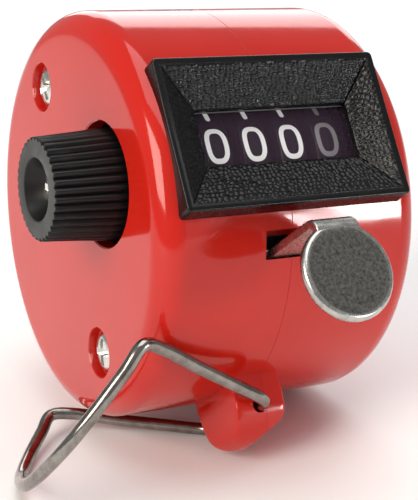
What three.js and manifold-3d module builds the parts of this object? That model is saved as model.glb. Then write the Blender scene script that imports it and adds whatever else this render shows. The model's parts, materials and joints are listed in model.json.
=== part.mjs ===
// Hand tally counter: round two-part case, four number wheels on a reset shaft,
// sprung thumb lever, swinging finger loop. Millimetres, +Z up, standing on a table.
import * as THREE from 'three';
import { mergeVertices } from 'three/addons/utils/BufferGeometryUtils.js';
import Module from 'manifold-3d';
const wasm = await Module(); wasm.setup();

// ---------------------------------------------------------------- dimensions
const CASE_R = 24, CASE_HALF_W = 16.55, FILLET = 2.9, WALL = 1.8;
const SEAM_X = -0.7, SEAM_GAP = 0.1;
const SHAFT_Y = -10.2, SHAFT_R = 1.25, WHEEL_R = 9.4, WHEEL_PITCH = 4.75, DRUM_W = 3.2;
const THOUSANDS_X = -6.3;
const GEAR_TEETH = 20, PINION_TEETH = 8, MODULE = 0.75;
const PINION_C = (GEAR_TEETH + PINION_TEETH) / 2 * MODULE;      // 10.5
const KNOB_TIP_R = 5.8, KNOB_ROOT_R = 6.35, KNOB_OUT = 7.85, KNOB_HOLE_R = 7.1;
const BEZ_X0 = -14.4, BEZ_X1 = 13.55, BEZ_Z0 = -9.1, BEZ_Z1 = 8.4, BEZ_FRONT = -24.7;
const WIN_X0 = -9.5, WIN_X1 = 9.9, WIN_Z0 = -3.3, WIN_Z1 = 3.25, WIN_Y = -22.0;
const SLOT = { x0: -4.0, x1: 2.7, z0: -13.62, z1: -10.85 };
const ARM = { x0: -3.2, x1: 2.0, z0: -13.4, z1: -12.4, yBend: -29.9 };
const PAD_R = 5.35, PAD_Z = -18.6, PAD_X = -0.7, PAD_T = 1.1;
const PIVOT = { y: -6.0, z: -11.2, r: 0.9 };
const LUG = { x0: -4.5, x1: 2.2, cy: -1.4, cz: -25.9, r: 4.9 };
const LOOP_X = -1.5, LOOP_Z = -26.7, WIRE_R = 0.75, LOOP_HOLE_R = 1.1;
const SCREWS = [{ y: 0.3, z: 17.0 }, { y: 0.9, z: -16.5 }];
const LEAN_BACK = THREE.MathUtils.degToRad(-36), LEAN_SIDE = THREE.MathUtils.degToRad(6); // rests on rim, lug and finger loop

// ---------------------------------------------------------------- solids
function solid(geo) {
  const g = geo.clone(); g.deleteAttribute('normal'); g.deleteAttribute('uv');
  const m = mergeVertices(g, 1e-4);
  const p = m.attributes.position.array, idx = m.index.array, tri = [];
  let vol = 0;
  for (let i = 0; i < idx.length; i += 3) {
    const [a, b, c] = [idx[i], idx[i + 1], idx[i + 2]];
    if (a === b || b === c || a === c) continue;
    tri.push(a, b, c);
    const A = [p[3 * a], p[3 * a + 1], p[3 * a + 2]], B = [p[3 * b], p[3 * b + 1], p[3 * b + 2]], C = [p[3 * c], p[3 * c + 1], p[3 * c + 2]];
    vol += A[0] * (B[1] * C[2] - B[2] * C[1]) - A[1] * (B[0] * C[2] - B[2] * C[0]) + A[2] * (B[0] * C[1] - B[1] * C[0]);
  }
  if (vol < 0) for (let i = 0; i < tri.length; i += 3) { const t = tri[i + 1]; tri[i + 1] = tri[i + 2]; tri[i + 2] = t; }
  return new wasm.Manifold(new wasm.Mesh({ numProp: 3, vertProperties: new Float32Array(p), triVerts: new Uint32Array(tri) }));
}
const CYC_X = new THREE.Matrix4().set(0, 0, 1, 0, 1, 0, 0, 0, 0, 1, 0, 0, 0, 0, 0, 1);   // (sx,sy,sz) -> (x=sz, y=sx, z=sy)
const CYC_Y = new THREE.Matrix4().set(0, 1, 0, 0, 0, 0, 1, 0, 1, 0, 0, 0, 0, 0, 0, 1);   // (sx,sy,sz) -> (x=sy, y=sz, z=sx)
function shapeOf(pts) { const s = new THREE.Shape(); pts.forEach((q, i) => i ? s.lineTo(q[0], q[1]) : s.moveTo(q[0], q[1])); s.closePath(); return s; }
function prismX(pts, x0, x1) {            // pts are [y, z]
  const g = new THREE.ExtrudeGeometry(shapeOf(pts), { depth: x1 - x0, bevelEnabled: false });
  g.translate(0, 0, x0); g.applyMatrix4(CYC_X); return solid(g);
}
function prismY(pts, y0, y1) {            // pts are [x, z]
  const g = new THREE.ExtrudeGeometry(shapeOf(pts.map(([x, z]) => [z, x])), { depth: y1 - y0, bevelEnabled: false });
  g.translate(0, 0, y0); g.applyMatrix4(CYC_Y); return solid(g);
}
function latheX(pts, seg, cy = 0, cz = 0) { // pts are [x, r], closed or ending on the axis
  const g = new THREE.LatheGeometry(pts.map(([x, r]) => new THREE.Vector2(r, x)), seg);
  g.applyMatrix4(new THREE.Matrix4().set(0, 1, 0, 0, 0, 0, 1, 0, 1, 0, 0, 0, 0, 0, 0, 1));
  g.translate(0, cy, cz); return solid(g);
}
function circle(cy, cz, r, n, ph = 0) { const o = []; for (let i = 0; i < n; i++) { const a = 2 * Math.PI * (i + ph) / n; o.push([cy + r * Math.cos(a), cz + r * Math.sin(a)]); } return o; }
const cylX = (cy, cz, r, x0, x1, n = 24) => prismX(circle(cy, cz, r, n), x0, x1);
const cylY = (cx, cz, r, y0, y1, n = 20) => prismY(circle(cx, cz, r, n), y0, y1);
function box(x0, x1, y0, y1, z0, z1) { const g = new THREE.BoxGeometry(x1 - x0, y1 - y0, z1 - z0); g.translate((x0 + x1) / 2, (y0 + y1) / 2, (z0 + z1) / 2); return solid(g); }
function hull2(pts) {
  const P = pts.slice().sort((a, b) => a[0] - b[0] || a[1] - b[1]);
  const cr = (o, a, b) => (a[0] - o[0]) * (b[1] - o[1]) - (a[1] - o[1]) * (b[0] - o[0]);
  const half = (Q) => { const h = []; for (const q of Q) { while (h.length > 1 && cr(h[h.length - 2], h[h.length - 1], q) <= 1e-9) h.pop(); h.push(q); } h.pop(); return h; };
  return half(P).concat(half(P.slice().reverse()));
}
function tube(points, r, sides, steps, closed = false) {
  const path = new THREE.CatmullRomCurve3(points.map(q => new THREE.Vector3(...q)), closed, 'centripetal');
  return tubeOn(path, r, sides, steps);
}
function tubeOn(path, r, sides, steps) {
  const s = new THREE.Shape(); for (let i = 0; i < sides; i++) { const a = 2 * Math.PI * i / sides; i ? s.lineTo(r * Math.cos(a), r * Math.sin(a)) : s.moveTo(r, 0); } s.closePath();
  return solid(new THREE.ExtrudeGeometry(s, { steps, bevelEnabled: false, extrudePath: path }));
}
// involute gear outline about (cy, cz), phase in radians of one tooth centre
function gear(cy, cz, z, m, phase, add, ded, thin) {
  const pa = 25 * Math.PI / 180, rp = m * z / 2, rb = rp * Math.cos(pa), ra = rp + add, rr = rp - ded;
  const inv = (r) => { if (r <= rb) return 0; const t = Math.sqrt(r * r / rb / rb - 1); return t - Math.atan(t); };
  const half = Math.PI / (2 * z) + inv(rp) - thin / 2 / rp, out = [];
  for (let i = 0; i < z; i++) {
    const c = phase + 2 * Math.PI * i / z, L = [];
    for (const r of [rr, rp, ra]) L.push([half - inv(r), r]);
    for (const [a, r] of L) out.push([cy + r * Math.cos(c - a), cz + r * Math.sin(c - a)]);
    for (const [a, r] of L.reverse()) out.push([cy + r * Math.cos(c + a), cz + r * Math.sin(c + a)]);
  }
  return out;
}
const group = new THREE.Group();           // standing group: leaned back about X, then to the side about Y
group.rotation.set(LEAN_BACK, LEAN_SIDE, 0, 'YXZ');
const root = new THREE.Group(); root.add(group);
let TRI = 0;
function part(name, man, color, roughness, metalness, extra = {}) {
  const m = man.getMesh(), g = new THREE.BufferGeometry();
  const v = new Float32Array(m.numVert * 3);
  for (let i = 0; i < m.numVert; i++) for (let k = 0; k < 3; k++) v[3 * i + k] = m.vertProperties[m.numProp * i + k];
  g.setAttribute('position', new THREE.BufferAttribute(v, 3));
  g.setIndex(new THREE.BufferAttribute(new Uint32Array(m.triVerts), 1)); g.computeVertexNormals();
  const mesh = new THREE.Mesh(g, new THREE.MeshStandardMaterial({ color, roughness, metalness, ...extra }));
  mesh.name = name; group.add(mesh); TRI += m.triVerts.length / 3;
}
const RED = [0xc8201e, 0.25, 0], BLACK = [0x141414, 0.45, 0], STEEL = [0xb9b9b5, 0.3, 1], ZINC = [0xc9c6bd, 0.32, 1], BRASS = [0xb99a55, 0.4, 1];

// ---------------------------------------------------------------- case
function drum(r, hw, f, n = 56, k = 3) {   // closed outer profile of a filleted drum about X
  const p = [[-hw, 0]];
  for (let i = 0; i <= k; i++) { const a = Math.PI / 2 * i / k; p.push([-hw + f - f * Math.cos(a), r - f + f * Math.sin(a)]); }
  for (let i = k; i >= 0; i--) { const a = Math.PI / 2 * i / k; p.push([hw - f + f * Math.cos(a), r - f + f * Math.sin(a)]); }
  p.push([hw, 0]); return latheX(p, n);
}
const outer = drum(CASE_R, CASE_HALF_W, FILLET), inner = drum(CASE_R - WALL, CASE_HALF_W - WALL, 1.4, 56, 1);
// lug: rounded tab seen from the side, rounded lower corners seen from the front
const lugSide = prismX(hull2([...circle(LUG.cy, LUG.cz, LUG.r, 28), [-6.3, -22.4], [4.6, -22.4]]), LUG.x0, LUG.x1);
const zb = LUG.cz - LUG.r, lr = 2.2;
const corner = (cx, cz, a0, a1) => Array.from({ length: 4 }, (_, i) => { const a = (a0 + (a1 - a0) * i / 3) * Math.PI / 180; return [cx + lr * Math.cos(a), cz + lr * Math.sin(a)]; });
const lugFront = prismY([[LUG.x0, -20], ...corner(LUG.x0 + lr, zb + lr, 180, 270), ...corner(LUG.x1 - lr, zb + lr, 270, 360), [LUG.x1, -20]], -9, 9);
const lug = lugSide.intersect(lugFront);
let shell = outer.subtract(inner).add(lug.subtract(drum(CASE_R - 0.6, CASE_HALF_W - 0.6, 2.6)));
for (const s of SCREWS) shell = shell.add(cylX(s.y, s.z, 3.0, -15.5, 15.5, 14));
shell = shell.subtract(cylY(LOOP_X, LOOP_Z, LOOP_HOLE_R, -12, 12, 12));
shell = shell.subtract(box(BEZ_X0 + 0.7, BEZ_X1 - 0.7, -26, -15, BEZ_Z0 + 0.7, BEZ_Z1 - 0.7));
shell = shell.subtract(box(SLOT.x0, SLOT.x1, -26, -15, SLOT.z0, SLOT.z1));
shell = shell.subtract(cylX(SHAFT_Y, 0, KNOB_HOLE_R, -18, -13, 32));
for (const s of SCREWS) shell = shell.subtract(cylX(s.y, s.z, 2.9, -18, -15.35, 18)).subtract(cylX(s.y, s.z, 1.35, -18, 9, 10));
const left = shell.subtract(box(SEAM_X - SEAM_GAP / 2, 40, -60, 60, -60, 60));
const right = shell.subtract(box(-40, SEAM_X + SEAM_GAP / 2, -60, 60, -60, 60));
part('case_left_half', left, ...RED);
part('case_right_half', right, ...RED);
SCREWS.forEach((s, i) => {
  const head = latheX([[-15.95, 0], [-15.95, 1.5], [-15.6, 2.1], [-15.25 + 0.2, 2.3], [-15.05, 1.15], [7.5, 1.1], [8.6, 0]].map(([x, r]) => [x, r]), 20, s.y, s.z);
  const seat = latheX([[-16.2, 0], [-16.2, 1.3], [-15.95, 2.0], [-15.65, 2.3], [-15.65, 1.05], [7.5, 1.05], [8.5, 0]], 20, s.y, s.z);
  const cross = box(-17, -15.7, s.y - 1.3, s.y + 1.3, s.z - 0.25, s.z + 0.25).add(box(-17, -15.7, s.y - 0.25, s.y + 0.25, s.z - 1.3, s.z + 1.3));
  part(i ? 'case_screw_lower' : 'case_screw_upper', seat.subtract(cross), ...ZINC);
});

// ---------------------------------------------------------------- window
const grown = drum(CASE_R + 0.2, CASE_HALF_W + 0.2, FILLET + 0.1);
const fx = 0.8;
function frustum(x0, x1, z0, z1, y0, X0, X1, Z0, Z1, y1) { // rectangle at y0 to rectangle at y1
  const v = [[x0, y0, z0], [x1, y0, z0], [x1, y0, z1], [x0, y0, z1], [X0, y1, Z0], [X1, y1, Z0], [X1, y1, Z1], [X0, y1, Z1]].flat();
  const f = [0, 1, 2, 0, 2, 3, 4, 6, 5, 4, 7, 6, 0, 5, 1, 0, 4, 5, 1, 6, 2, 1, 5, 6, 2, 7, 3, 2, 6, 7, 3, 4, 0, 3, 7, 4];
  const g = new THREE.BufferGeometry(); g.setAttribute('position', new THREE.BufferAttribute(new Float32Array(v), 3)); g.setIndex(f); return solid(g);
}
const flange = box(BEZ_X0, BEZ_X1, BEZ_FRONT, -20.6, BEZ_Z0, BEZ_Z1).subtract(grown);
const skirt = box(BEZ_X0 + 1.0, BEZ_X1 - 1.0, BEZ_FRONT, -20.0, BEZ_Z0 + 1.0, BEZ_Z1 - 1.0);
const slope = 1 / (Math.abs(WIN_Y - BEZ_FRONT));
let bezel = flange.add(skirt);
const ex = 0.05;
bezel = bezel.subtract(frustum(BEZ_X0 + fx, BEZ_X1 - fx, BEZ_Z0 + fx, BEZ_Z1 - fx, BEZ_FRONT - ex, WIN_X0, WIN_X1, WIN_Z0, WIN_Z1, WIN_Y));
bezel = bezel.subtract(box(WIN_X0, WIN_X1, WIN_Y - 0.5, -19, WIN_Z0, WIN_Z1));
bezel = bezel.subtract(box(-10.7, 10.9, -21.6, -19, -4.4, 4.4));
part('window_bezel', bezel, ...BLACK);
part('window_lens', box(-10.4, 10.6, -21.3, -20.3, -4.1, 4.1), 0xdfe6ea, 0.08, 0, { transparent: true, opacity: 0.25 });

// ---------------------------------------------------------------- mechanism frame
const plateOutline = hull2([...circle(SCREWS[0].y, SCREWS[0].z, 4.6, 10), ...circle(SCREWS[1].y, SCREWS[1].z, 4.3, 10), ...circle(SHAFT_Y, 0, 3.4, 10), ...circle(PIVOT.y, PIVOT.z - 0.4, 2.6, 8), ...circle(4.3, 0, 2.6, 8)]);
const plate = (x0, x1) => prismX(plateOutline, x0, x1);
let frame = plate(-11.2, -10.2).add(plate(12.6, 13.6)).add(box(-10.5, 12.9, 5.1, 6.1, -7, 7));
for (const s of SCREWS) frame = frame.subtract(cylX(s.y, s.z, 3.4, -13, 15, 14));
frame = frame.subtract(cylX(SHAFT_Y, 0, SHAFT_R + 0.2, -13, 15, 14)).subtract(cylX(SHAFT_Y + PINION_C, 0, 1.0, -13, 15, 10)).subtract(cylX(PIVOT.y, PIVOT.z, 1.1, -13, 15, 10));
part('mechanism_frame', frame, ...ZINC);
part('pinion_shaft', cylX(SHAFT_Y + PINION_C, 0, 0.8, -12.2, 14.2, 10), ...STEEL);
part('lever_pivot_pin', cylX(PIVOT.y, PIVOT.z, PIVOT.r, -12.2, 14.2, 12), ...STEEL);

// ---------------------------------------------------------------- reset shaft and knob
let shaft = cylX(SHAFT_Y, 0, SHAFT_R, -21.2, 14.5, 24);
shaft = shaft.subtract(prismX([[SHAFT_Y - 0.35, 0.75], [SHAFT_Y, 0.5], [SHAFT_Y + 0.35, 0.75], [SHAFT_Y + 0.35, 2], [SHAFT_Y - 0.35, 2]], -9.2, 10.6));
shaft = shaft.subtract(cylX(SHAFT_Y, 0, 2, 13.75, 14.15, 20).subtract(cylX(SHAFT_Y, 0, 0.85, 13.7, 14.2, 20)));
part('wheel_shaft', shaft, ...STEEL);
const clip = prismX(circle(SHAFT_Y, 0, 2.3, 24), 13.8, 14.1).subtract(cylX(SHAFT_Y, 0, 1.0, 13, 15, 20)).subtract(box(13, 15, SHAFT_Y - 0.8, SHAFT_Y + 0.8, -4, 0));
part('shaft_clip', clip, ...STEEL);
const KX0 = -CASE_HALF_W - KNOB_OUT, fl = [];
const FLUTES = 36;
function fluted(r, depth) { const o = []; for (let i = 0; i < FLUTES; i++) for (const [u, d] of [[0.0, 1], [0.22, 0], [0.78, 0]]) { const a = 2 * Math.PI * (i + u) / FLUTES; o.push([r - (d ? depth : 0), a]); } return o; }
{ // tapered fluted barrel
  const n = FLUTES * 3, A = fluted(KNOB_TIP_R, 0.35), B = fluted(KNOB_ROOT_R, 0.35), v = [], f = [];
  for (const [x, P] of [[KX0 + 0.5, A], [-15.2, B]]) for (const [r, a] of P) v.push(x, SHAFT_Y + r * Math.cos(a), r * Math.sin(a));
  for (const [r, a] of A) v.push(KX0, SHAFT_Y + (r - 0.5) * Math.cos(a), (r - 0.5) * Math.sin(a));
  v.push(KX0, SHAFT_Y, 0, -15.2, SHAFT_Y, 0); const c0 = 3 * n, c1 = 3 * n + 1;
  for (let i = 0; i < n; i++) { const j = (i + 1) % n; f.push(i, n + i, n + j, i, n + j, j, 2 * n + i, i, j, 2 * n + i, j, 2 * n + j, c0, 2 * n + i, 2 * n + j, c1, n + j, n + i); }
  const g = new THREE.BufferGeometry(); g.setAttribute('position', new THREE.BufferAttribute(new Float32Array(v), 3)); g.setIndex(f);
  let knob = solid(g).add(cylX(SHAFT_Y, 0, 3.3, -15.4, -11.6, 16));
  knob = knob.subtract(latheX([[KX0 - 1, 0], [KX0 - 1, 4.1], [KX0 + 0.1, 3.8], [KX0 + 2.9, 3.0], [KX0 + 2.9, 0]], 20, SHAFT_Y, 0));
  knob = knob.subtract(cylX(SHAFT_Y, 0, 1.0, KX0, -10, 16)).subtract(cylX(SHAFT_Y, 0, SHAFT_R + 0.25, -21.4, -10, 20));
  part('reset_knob', knob, 0x161616, 0.4, 0);
}
{ const x = KX0 + 2.8; // pan head screw in the knob's recess, threaded into the shaft end
  const sc = latheX([[x - 1.3, 0], [x - 1.3, 1.2], [x - 0.9, 1.9], [x - 0.2, 2.1], [x - 0.2, 0.7], [-21.5, 0.7], [-21.5, 0]], 20, SHAFT_Y, 0);
  part('knob_screw', sc.subtract(box(x - 2, x - 0.8, SHAFT_Y - 1.7, SHAFT_Y + 1.7, -0.25, 0.25)), ...ZINC); }

// ---------------------------------------------------------------- number wheels and transfer pinions
const NAMES = ['thousands', 'hundreds', 'tens', 'units'];
NAMES.forEach((nm, i) => {
  const xc = THOUSANDS_X + WHEEL_PITCH * i, x0 = xc - DRUM_W / 2, x1 = xc + DRUM_W / 2;
  // drum: rim, web and hub, open at both faces
  let w = latheX([[x0, WHEEL_R], [x1, WHEEL_R], [x1, 8.5], [x1 - 1.0, 8.5], [x1 - 1.0, 2.4], [x1, 2.4], [x1, SHAFT_R + 0.2], [x0, SHAFT_R + 0.2], [x0, 2.4], [x0 + 1.0, 2.4], [x0 + 1.0, 8.5], [x0, 8.5], [x0, WHEEL_R]], 30, SHAFT_Y, 0);
  if (i < 3) w = w.add(prismX(gear(SHAFT_Y, 0, GEAR_TEETH, MODULE, 0, 0.55, 0.85, 0.16), x1 - 1.1, x1 + 0.6).subtract(cylX(SHAFT_Y, 0, 5.2, x1 - 2, x1 + 2, 16)));
  if (i > 0) { // carry disc with its single tooth, which passes the pinion only between 9 and 0
    const disc = cylX(SHAFT_Y, 0, 6.45, x0 - 0.65, x0 + 1.1, 24).subtract(cylX(SHAFT_Y, 0, 5.2, x0 - 2, x0 + 2, 16));
    const a = Math.PI / 10, t = prismX([-3, 3].map(d => d * Math.PI / 180).flatMap((d, k) => k ? [[7.35, d], [6.2, d]] : [[6.2, d], [7.35, d]]).map(([r, d]) => [SHAFT_Y + r * Math.cos(a + d), r * Math.sin(a + d)]), x0 - 0.65, x0 + 0.2);
    w = w.add(disc).add(t);
  }
  part(nm + '_wheel', w, 0x1b1a1e, 0.5, 0);
});
NAMES.slice(0, 3).forEach((nm, i) => {
  const x1 = THOUSANDS_X + WHEEL_PITCH * i + DRUM_W / 2;
  const p = prismX(gear(SHAFT_Y + PINION_C, 0, PINION_TEETH, MODULE, Math.PI + Math.PI / PINION_TEETH, 0.55, 0.85, 0.16), x1 + 0.15, x1 + 1.4);
  part(nm + '_pinion', p.subtract(cylX(SHAFT_Y + PINION_C, 0, 0.95, -20, 20, 16)), 0xd8d2c4, 0.5, 0);
});
{ // ten-tooth star wheel on the units wheel
  const pts = []; for (let i = 0; i < 10; i++) for (const [u, r] of [[0, 5.2], [0.12, 5.2], [0.5, 3.5], [0.62, 3.5]]) { const a = 2 * Math.PI * (i + u) / 10; pts.push([SHAFT_Y + r * Math.cos(a), r * Math.sin(a)]); }
  part('star_wheel', prismX(pts, 9.85, 10.75).subtract(cylX(SHAFT_Y, 0, SHAFT_R + 0.2, 9, 12, 20)), ...BRASS); }
NAMES.forEach((nm, i) => { // leaf of spring steel in each wheel that drops into the shaft's groove on reset
  const x = THOUSANDS_X + WHEEL_PITCH * i - DRUM_W / 2 + 0.25;
  part(nm + '_reset_pawl', prismX([[SHAFT_Y - 0.3, 2.75], [SHAFT_Y + 0.1, 2.75], [SHAFT_Y + 1.1, 4.6], [SHAFT_Y + 0.6, 4.8]], x, x + 0.45), ...STEEL);
});

// ---------------------------------------------------------------- thumb lever, verge and return spring
const armBar = box(ARM.x0, ARM.x1, ARM.yBend, -10, ARM.z0, ARM.z1);
const tPlate = box(-9.6, 12.1, -13, -3.5, ARM.z0, ARM.z1);
const padDisc = prismY(circle(PAD_X, PAD_Z, PAD_R, 30), ARM.yBend, ARM.yBend + PAD_T);
const neck = box(ARM.x0, ARM.x1, ARM.yBend, ARM.yBend + PAD_T, -16, ARM.z1);
const ear = (x0, x1) => prismX(hull2([...circle(PIVOT.y, PIVOT.z, 1.9, 16), [-8.6, ARM.z0], [-3.5, ARM.z0], [-8.6, ARM.z1], [-3.5, ARM.z1]]), x0, x1);
let lever = armBar.add(tPlate).add(padDisc).add(neck).add(ear(-9.6, -8.6)).add(ear(11.1, 12.1));
lever = lever.subtract(box(9.5, 11.1, -8.6, -3, -14, -12)).subtract(box(-7.4, -4.2, -8.6, -3, -14, -12));
lever = lever.subtract(cylX(PIVOT.y, PIVOT.z, PIVOT.r + 0.15, -13, 15, 16));
part('thumb_lever', lever, 0xa9a8a2, 0.3, 1);
{ // two-pallet verge below the star wheel, riveted to the lever
  const o = (y, z) => [SHAFT_Y + y, z];
  const v = prismX([o(3.3, -9.6), o(-6.2, -9.0), o(-6.6, -5.0), o(-5.55, -4.3), o(-7.8, -4.6), o(-7.9, -10.2), o(2.6, -12.7), o(5.2, -12.9), o(6.2, -11.2), o(6.0, -4.2), o(4.5, -3.2), o(4.55, -9.0)], 9.9, 10.7);
  part('escapement_verge', v.subtract(cylX(PIVOT.y, PIVOT.z, PIVOT.r + 0.15, 9, 12, 16)), ...STEEL); }
{ // torsion spring round the pivot pin
  const pts = [[-7.2, -11.6, -12.05 + 0.35]], R = 1.45, N = 2.5;
  const q = []; q.push([-7.0, -11.4, -10.9]); q.push([-7.0, -9.0, -10.1]);
  for (let i = 0; i <= N * 8; i++) { const a = Math.PI / 2 + 0.25 + i * Math.PI / 4; q.push([-6.9 + 2.3 * i / (N * 8), PIVOT.y + R * Math.cos(a), PIVOT.z + R * Math.sin(a)]); }
  q.push([-4.6, -3.6, -12.5]); q.push([-4.6, -1.8, -12.2]);
  part('lever_return_spring', tube(q, 0.22, 5, 44), ...STEEL); }

// ---------------------------------------------------------------- finger loop
{ const c = [-17.9, -19.7], e = [-28.3, -30.2], L = Math.hypot(e[0] - c[0], e[1] - c[1]);
  const ring = (u, w) => [c[0] + (e[0] - c[0]) * w / L, u, c[1] + (e[1] - c[1]) * w / L];
  const leg = (s) => [[LOOP_X, s * (s < 0 ? 3.6 : 2.4), LOOP_Z], [LOOP_X, s * (s < 0 ? 7.2 : 5.6), LOOP_Z]];
  const front = leg(-1), back = leg(1);
  const pts = [front[0], front[1], [-2.3, -8.3, -26.35], [-6, -9.9, -24.75], [-11, -12.1, -22.65], [-16.0, -14.4, -20.5], ring(-15.3, 0.6), ring(-14.2, 3.6), ring(-11.8, 8.0), ring(-7.6, 12.2), ring(0, 14.6), ring(7.6, 12.2), ring(11.8, 8.0), ring(14.2, 3.6), ring(15.3, 0.6), [-16.0, 14.4, -20.5], [-11, 12.0, -22.65], [-6, 9.2, -24.75], [-2.3, 6.9, -26.35], back[1], back[0]];
  part('finger_loop', tube(pts, WIRE_R, 8, 60), 0xb4b0a8, 0.25, 1); }

// put the origin below the centre of the box, on the table
{ root.updateMatrixWorld(true); const bb = new THREE.Box3().setFromObject(root, true);
  group.position.x -= (bb.min.x + bb.max.x) / 2; group.position.y -= (bb.min.y + bb.max.y) / 2; group.position.z -= bb.min.z; root.updateMatrixWorld(true); }

export default root;
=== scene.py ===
# Looks of the hand tally counter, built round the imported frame. Pieces are drawn in the
# drum's own frame (mm, X along the drum, window towards -Y, lug towards -Z) and then
# turned into the frame of the part.
import bpy, bmesh, math, json
import numpy as np
from mathutils import Matrix, Vector, Euler


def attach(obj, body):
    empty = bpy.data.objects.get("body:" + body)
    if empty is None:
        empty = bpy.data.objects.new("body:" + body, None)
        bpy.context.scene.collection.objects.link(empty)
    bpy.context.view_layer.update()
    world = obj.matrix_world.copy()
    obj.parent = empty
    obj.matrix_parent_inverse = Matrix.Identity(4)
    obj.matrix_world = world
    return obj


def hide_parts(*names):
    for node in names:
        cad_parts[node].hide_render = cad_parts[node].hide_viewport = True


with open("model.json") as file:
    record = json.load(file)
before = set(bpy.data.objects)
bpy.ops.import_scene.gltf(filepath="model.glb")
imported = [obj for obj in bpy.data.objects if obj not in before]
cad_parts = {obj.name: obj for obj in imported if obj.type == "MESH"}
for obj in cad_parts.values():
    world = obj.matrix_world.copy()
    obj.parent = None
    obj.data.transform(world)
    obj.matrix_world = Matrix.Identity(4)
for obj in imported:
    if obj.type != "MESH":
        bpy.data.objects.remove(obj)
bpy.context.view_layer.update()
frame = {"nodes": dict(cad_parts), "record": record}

# ------------------------------------------------------------------ frame of the drum
ALPHA, BETA = math.radians(-36), math.radians(6)
ROT = Matrix.Rotation(BETA, 3, 'Y') @ Matrix.Rotation(ALPHA, 3, 'X')
def joint(name):
    for j in frame["record"]["behaviour"]["joints"]:
        if j["name"] == name:
            return j
# offset from one known joint point, the loop pin (-1.5, 0, -26.7); the wheel shaft passes (x, -10.2, 0)
J0 = Vector(joint("loop_swing")["pos_m"]) * 1000
OFF = J0 - ROT @ Vector((-1.5, 0, -26.7))
M4 = Matrix.Translation(OFF / 1000) @ ROT.to_4x4() @ Matrix.Scale(0.001, 4)

SHAFT_Y, WHEEL_R = -10.2, 9.4
COL = bpy.context.scene.collection

# ------------------------------------------------------------------ mesh helpers
def new_obj(name, verts, faces):
    me = bpy.data.meshes.new(name)
    me.from_pydata([tuple(v) for v in verts], [], [tuple(f) for f in faces])
    me.validate(); me.update()
    ob = bpy.data.objects.new(name, me); COL.objects.link(ob)
    bm = bmesh.new(); bm.from_mesh(me)
    bmesh.ops.remove_doubles(bm, verts=bm.verts, dist=1e-5)
    bmesh.ops.recalc_face_normals(bm, faces=bm.faces)
    bm.to_mesh(me); bm.free()
    return ob

def apply_mods(ob):
    dg = bpy.context.evaluated_depsgraph_get(); dg.update()
    me = bpy.data.meshes.new_from_object(ob.evaluated_get(dg), preserve_all_data_layers=True, depsgraph=dg)
    old = ob.data; ob.modifiers.clear(); ob.data = me
    bpy.data.meshes.remove(old)
    return ob

def boolean(ob, cutter, op='DIFFERENCE', keep=False):
    m = ob.modifiers.new('b', 'BOOLEAN'); m.operation = op; m.solver = 'EXACT'; m.object = cutter
    apply_mods(ob)
    if not keep:
        bpy.data.objects.remove(cutter)
    return ob

def bevel(ob, w, seg=2, ang=35):
    m = ob.modifiers.new('bev', 'BEVEL'); m.width = w; m.segments = seg; m.limit_method = 'ANGLE'
    m.angle_limit = math.radians(ang); m.use_clamp_overlap = True; m.miter_outer = 'MITER_ARC'
    return apply_mods(ob)

def smooth(ob, ang=32, weighted=True):
    me = ob.data
    me.polygons.foreach_set('use_smooth', [True] * len(me.polygons))
    bm = bmesh.new(); bm.from_mesh(me)
    for e in bm.edges:
        e.smooth = not (len(e.link_faces) == 2 and e.calc_face_angle(0) > math.radians(ang))
    bm.to_mesh(me); bm.free()
    if weighted:
        m = ob.modifiers.new('wn', 'WEIGHTED_NORMAL'); m.keep_sharp = True; m.weight = 60
    return ob

def place(ob):
    ob.data.transform(M4); ob.data.update()
    return ob

def lathe(name, prof, n=128, cy=0.0, cz=0.0, closed=False):
    """prof: (x, r) list, ends on the axis unless closed."""
    V, F, rings = [], [], []
    for x, r in prof:
        if r < 1e-6:
            rings.append([len(V)]); V.append((x, cy, cz))
        else:
            rings.append(list(range(len(V), len(V) + n)))
            V += [(x, cy + r * math.cos(2 * math.pi * i / n), cz + r * math.sin(2 * math.pi * i / n)) for i in range(n)]
    pairs = list(zip(rings, rings[1:])) + ([(rings[-1], rings[0])] if closed else [])
    for a, b in pairs:
        for i in range(n):
            j = (i + 1) % n
            if len(a) == 1 and len(b) == 1: continue
            if len(a) == 1: F.append((a[0], b[i], b[j]))
            elif len(b) == 1: F.append((a[i], a[j], b[0]))
            else: F.append((a[i], a[j], b[j], b[i]))
    return new_obj(name, V, F)

def prism(name, pts, a0, a1, axis='X'):
    n = len(pts); V = []
    for a in (a0, a1):
        for p, q in pts:
            V.append((a, p, q) if axis == 'X' else ((p, a, q) if axis == 'Y' else (p, q, a)))
    F = [tuple(range(n)), tuple(range(n, 2 * n))] + [(i, (i + 1) % n, n + (i + 1) % n, n + i) for i in range(n)]
    return new_obj(name, V, F)

def circ(cy, cz, r, n=48, a0=0, a1=360):
    return [(cy + r * math.cos(math.radians(a0 + (a1 - a0) * i / n)), cz + r * math.sin(math.radians(a0 + (a1 - a0) * i / n))) for i in range(n)]

def cbox(name, x0, x1, y0, y1, z0, z1):
    return prism(name, [(x0, z0), (x1, z0), (x1, z1), (x0, z1)], y0, y1, 'Y')

def hull(pts):
    P = sorted(set((round(a, 6), round(b, 6)) for a, b in pts))
    def cr(o, a, b): return (a[0]-o[0])*(b[1]-o[1])-(a[1]-o[1])*(b[0]-o[0])
    def half(Q):
        h = []
        for q in Q:
            while len(h) > 1 and cr(h[-2], h[-1], q) <= 1e-9: h.pop()
            h.append(q)
        return h[:-1]
    return half(P) + half(P[::-1])

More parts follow.
